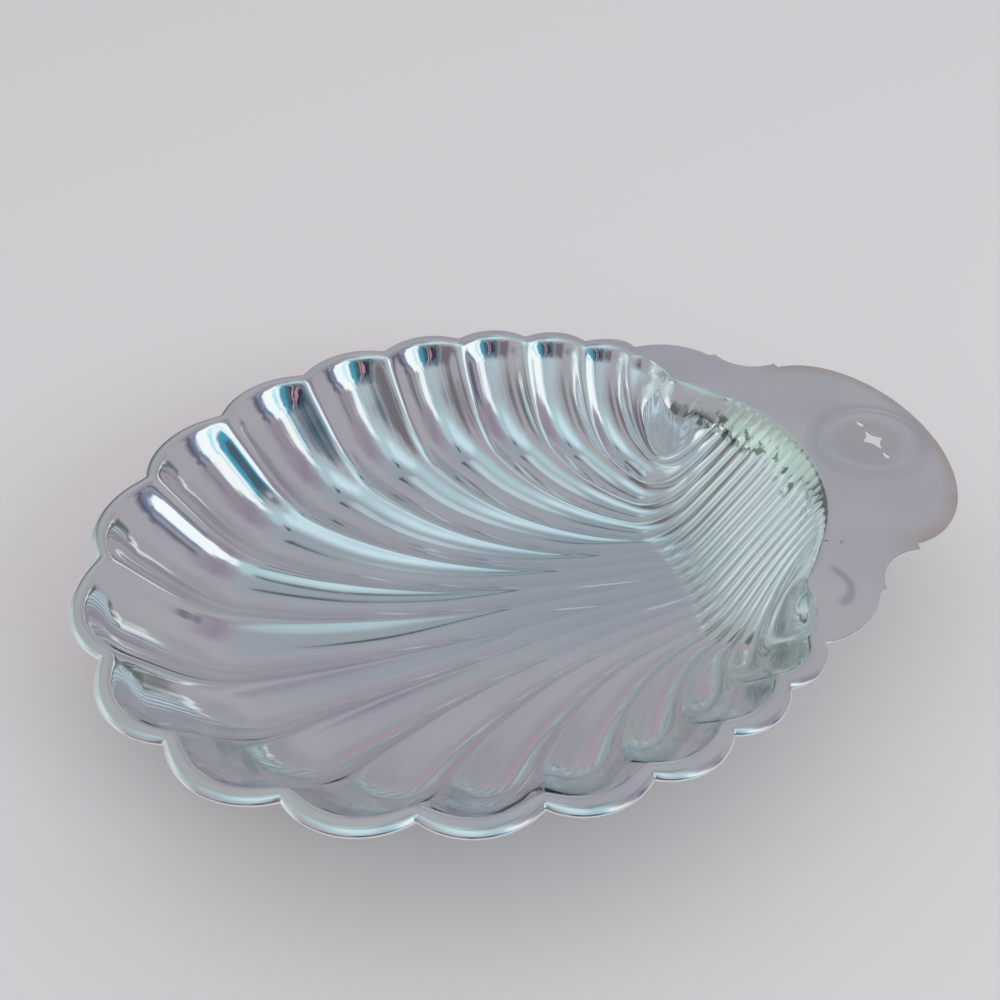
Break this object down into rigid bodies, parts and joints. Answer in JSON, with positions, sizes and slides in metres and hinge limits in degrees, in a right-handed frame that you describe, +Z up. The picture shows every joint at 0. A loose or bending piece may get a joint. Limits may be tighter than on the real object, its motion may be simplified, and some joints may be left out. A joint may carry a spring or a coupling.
{
  "type": "shell-shaped bowl",
  "caption": "Scallop-shell serving dish pressed from one sheet, with a scalloped flat rim, fluted bowl, reeded back wall and a flat pierced handle plate.",
  "frame": {"origin": "middle of the outline seen from above, on the surface that the dish stands on", "axes": "+X along the centreline towards the handle, +Z up out of the bowl, +Y to the side"},
  "size_m": [0.3048, 0.2438, 0.0517],
  "materials": {
    "silver_plate": "bright silver plate over a brass sheet, slightly worn and tarnished"
  },
  "bodies": {
    "root": {"shell_dish": "silver_plate"}
  },
  "joints": []
}
